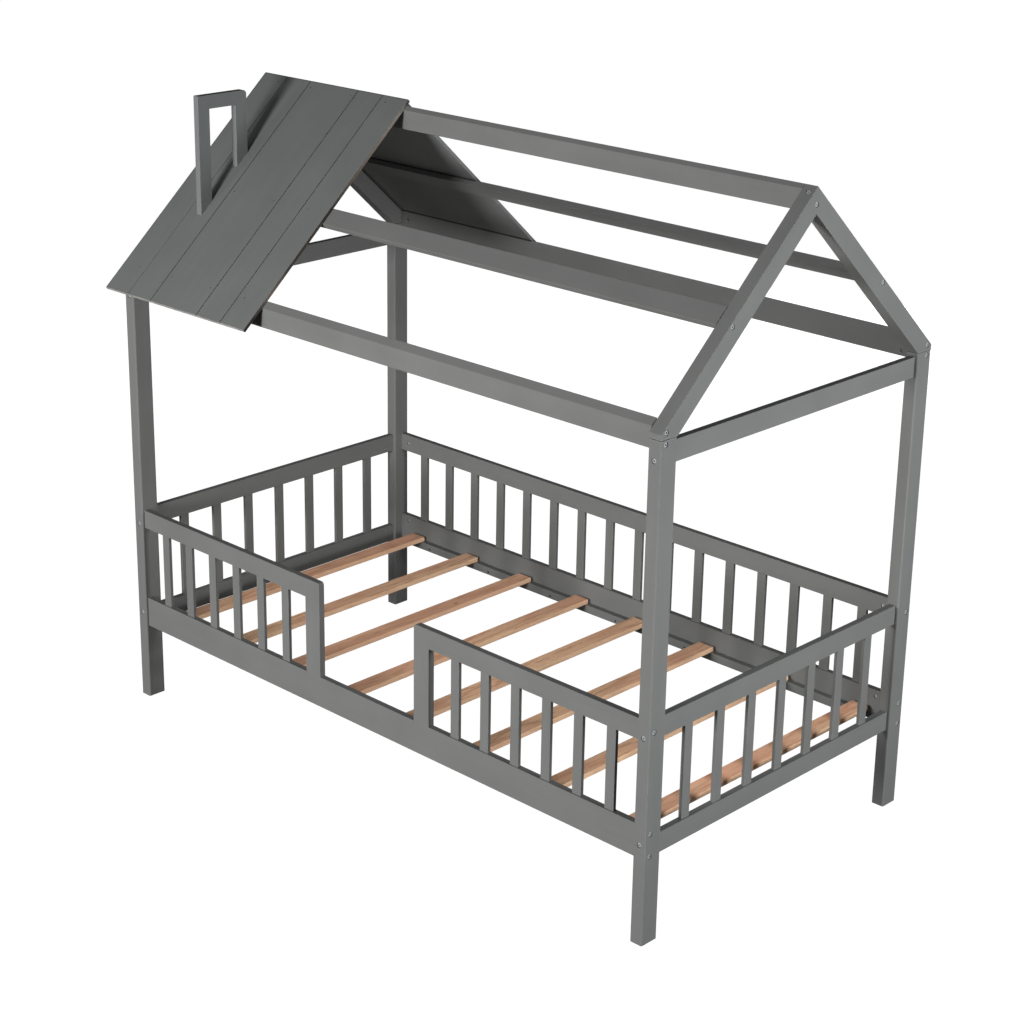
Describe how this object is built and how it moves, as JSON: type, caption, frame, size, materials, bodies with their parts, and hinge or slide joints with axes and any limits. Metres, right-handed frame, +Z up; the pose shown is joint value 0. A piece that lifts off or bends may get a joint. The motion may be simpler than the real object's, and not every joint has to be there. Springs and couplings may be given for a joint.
{
  "type": "house frame bed",
  "caption": "Child's floor-standing bed with corner posts, spindle guards with an entry gap, slatted base, pitched house frame overhead, short boarded roof and a flat chimney arch.",
  "frame": {"origin": "on the floor, in the middle of the space that the whole bed takes; the bed's own middle is 4 mm towards the foot because the roof reaches 8 mm past the head posts", "axes": "+X along the bed from the head end, under the roof, to the foot end; +Y from the front, with the entry gap, to the back; +Z up"},
  "size_m": [2.008, 1.1896, 1.8224],
  "materials": {
    "grey_paint": "satin grey paint on solid wood",
    "bare_pine": "bare planed pine",
    "beech": "bare turned beech",
    "zinc_steel": "bright zinc plate",
    "dark_steel": "dark screws, heads level with the wood"
  },
  "bodies": {
    "root": {"apex_screws": "zinc_steel", "back_spindles": "grey_paint", "barrel_nuts": "zinc_steel", "chimney": "grey_paint", "chimney_screws": "dark_steel", "dowels": "beech", "eave_beam_back": "grey_paint", "eave_beam_front": "grey_paint", "foot_spindles": "grey_paint", "frame_bolts": "zinc_steel", "guard_rail_foot": "grey_paint", "guard_rail_head": "grey_paint", "guard_spindles_foot": "grey_paint", "guard_spindles_head": "grey_paint", "guard_upright_foot": "grey_paint", "guard_upright_head": "grey_paint", "head_spindles": "grey_paint", "ledger_back": "grey_paint", "ledger_front": "grey_paint", "ledger_screws": "dark_steel", "lower_rail_back": "grey_paint", "lower_rail_foot": "grey_paint", "lower_rail_front": "grey_paint", "lower_rail_head": "grey_paint", "post_back_foot": "grey_paint", "post_back_head": "grey_paint", "post_front_foot": "grey_paint", "post_front_head": "grey_paint", "purlin_back": "grey_paint", "purlin_front": "grey_paint", "rafter_back_foot": "grey_paint", "rafter_back_head": "grey_paint", "rafter_front_foot": "grey_paint", "rafter_front_head": "grey_paint", "ridge_beam": "grey_paint", "roof_panel_back": "grey_paint", "roof_panel_front": "grey_paint", "roof_screws": "dark_steel", "slat_1": "bare_pine", "slat_2": "bare_pine", "slat_3": "bare_pine", "slat_4": "bare_pine", "slat_5": "bare_pine", "slat_6": "bare_pine", "slat_7": "bare_pine", "slat_8": "bare_pine", "tie_beam_foot": "grey_paint", "tie_beam_head": "grey_paint", "upper_rail_back": "grey_paint", "upper_rail_foot": "grey_paint", "upper_rail_head": "grey_paint"}
  },
  "joints": []
}
